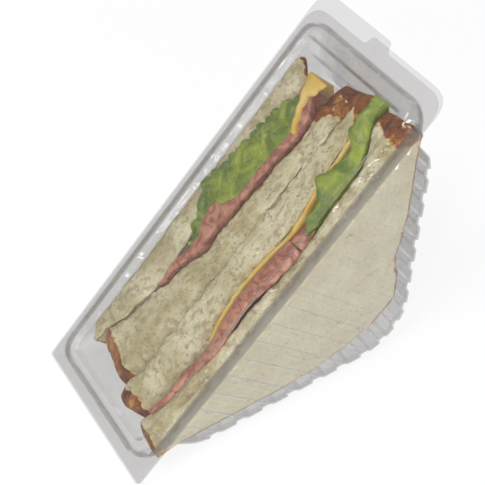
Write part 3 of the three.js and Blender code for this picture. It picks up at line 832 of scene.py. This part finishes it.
def lettuce_two():
    size = {"from": 0.633, "to": 0.954, "deep": -34, "corner": 10, "fine": (320, 60)}
    width = length_track(
        (0.633, 0.6), (0.673, 3.4), (0.701, 4.2), (0.719, 8), (0.739, 11), (0.759, 9.6),
        (0.782, 8.2), (0.805, 6.4), (0.828, 5.2), (0.856, 8.6), (0.897, 5.6), (0.954, 3),
    )

    def stem(s, z):
        return slice4_inner(s, z) + STEM_TWO_OFF

    leaf = draped(size, stem, width, lambda s: CUT_LEVEL - 0.6, 2.4, 0.3, 0.45)

    def place(s, t):
        y, z = leaf(s, t)
        y += 0.5 * math.sin(s * 0.9 + math.sin(s * 0.4)) * ramp(t, 0.7, 1.0)
        return y, z + 0.5 * math.sin(s * 0.5 + 4 * t) * ramp(t, 0.5, 0.9)

    return food_sheet("lettuce_two", size, LETTUCE_SHEET, place, lettuce_look, 32, 0.4, 0.4)


stand_for(ham_one(), "ham_slice_1")
stand_for(ham_two(), "ham_slice_2")
stand_for(ham_three(), "ham_slice_3")
stand_for(cheese_one(), "cheese_slice_1")
stand_for(cheese_two(), "cheese_slice_2")
stand_for(cheese_three(), "cheese_slice_3")
stand_for(lettuce_one(), "lettuce_leaf_1")
stand_for(lettuce_two(), "lettuce_leaf_2")


# The plastic.

for name in ("tub", "lid"):
    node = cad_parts[name]
    node.data.materials.clear()
    node.data.materials.append(plastic_look)


# Floor, light and camera.

WORLD_LIGHT, WORLD_WHITE = 0.42, 1.0  # as light on the object, and as seen, mirrored or through a piece
FLOOR_GREY, FLOOR_WHITE_SHARE = 0.9, 0.85
FLOOR_REACH = 3.0  # metres to each side


def white_for_camera(n, light_colour, strength, share):
    """A surface that lights the object plainly and shows white to the camera and in clear pieces."""
    path = n.add("LightPath")
    seen = n.math("MAXIMUM", path.outputs["Is Camera Ray"], path.outputs["Is Transmission Ray"])
    seen = n.math("MAXIMUM", seen, path.outputs["Is Glossy Ray"])
    plain = n.add("BsdfDiffuse", {"Color": light_colour})
    white = n.add("Emission", {"Color": (1, 1, 1), "Strength": strength})
    factor = n.math("MULTIPLY", seen, share)
    return n.finish(n.add("MixShader", {0: factor, 1: plain, 2: white}))


floor_look = white_for_camera(Nodes("floor"), (FLOOR_GREY,) * 3, 1.0, FLOOR_WHITE_SHARE)
floor_corners = [(x * FLOOR_REACH, y * FLOOR_REACH, 0) for x, y in ((-1, -1), (1, -1), (1, 1), (-1, 1))]
floor = new_object("floor", floor_corners, [(0, 1, 2, 3)], floor_look, smooth=False)

world = bpy.data.worlds.new("studio")
bpy.context.scene.world = world
world.use_nodes = True
sky = world.node_tree
background = sky.nodes["Background"]
path = sky.nodes.new("ShaderNodeLightPath")
seen = sky.nodes.new("ShaderNodeMath")
seen.operation = "MAXIMUM"
sky.links.new(path.outputs["Is Camera Ray"], seen.inputs[0])
sky.links.new(path.outputs["Is Glossy Ray"], seen.inputs[1])
strength = sky.nodes.new("ShaderNodeMapRange")
strength.inputs["To Min"].default_value = WORLD_LIGHT
strength.inputs["To Max"].default_value = WORLD_WHITE
also = sky.nodes.new("ShaderNodeMath")
also.operation = "MAXIMUM"
sky.links.new(seen.outputs[0], also.inputs[0])
sky.links.new(path.outputs["Is Transmission Ray"], also.inputs[1])
sky.links.new(also.outputs[0], strength.inputs["Value"])
sky.links.new(strength.outputs[0], background.inputs["Strength"])
background.inputs["Color"].default_value = (1, 1, 1, 1)


def softbox(name, place, target, width, height, power):
    lamp = bpy.data.lights.new(name, "AREA")
    lamp.shape = "RECTANGLE"
    lamp.size = width
    lamp.size_y = height
    lamp.energy = power
    obj = bpy.data.objects.new(name, lamp)
    obj.location = place
    obj.rotation_mode = "QUATERNION"
    obj.rotation_quaternion = (Vector(target) - Vector(place)).to_track_quat("-Z", "Y")
    bpy.context.scene.collection.objects.link(obj)


# Each lamp has its place, its width and height in metres and its power in watts.
LAMP_TARGET = (0, 0, 0.06)
softbox("key", (-0.55, -0.1, 1.0), LAMP_TARGET, 0.4, 0.4, 7.2)
softbox("front", (-0.35, -0.95, 0.34), LAMP_TARGET, 0.8, 0.45, 3.4)
softbox("strip", (-0.05, -0.9, 0.06), LAMP_TARGET, 1.2, 0.07, 5.4)
softbox("rim", (-0.8, -0.62, 0.5), LAMP_TARGET, 0.06, 0.3, 4)
softbox("top", (0.5, 0.3, 1.2), LAMP_TARGET, 0.5, 0.5, 2.3)

# The camera, fitted to the photo: its place in millimetres and its turns in degrees.
CAMERA_PLACE = (-159.18, -256.95, 375.01)
CAMERA_HEADING, CAMERA_TILT, CAMERA_ROLL = -32.4328, 44.6231, 0.1346
CAMERA_LENS, SENSOR_WIDTH = 82.13, 36

camera_data = bpy.data.cameras.new("camera")
camera_data.lens = CAMERA_LENS
camera_data.sensor_width = SENSOR_WIDTH
camera_data.clip_start = 0.01
camera = bpy.data.objects.new("camera", camera_data)
turn = Matrix.Rotation(math.radians(CAMERA_HEADING), 4, "Z")
turn = turn @ Matrix.Rotation(math.radians(CAMERA_TILT), 4, "X")
turn = turn @ Matrix.Rotation(math.radians(CAMERA_ROLL), 4, "Z")
camera.matrix_world = Matrix.Translation(Vector(CAMERA_PLACE) * MM) @ turn
bpy.context.scene.collection.objects.link(camera)
bpy.context.scene.camera = camera
bpy.context.scene.view_settings.view_transform = "Standard"
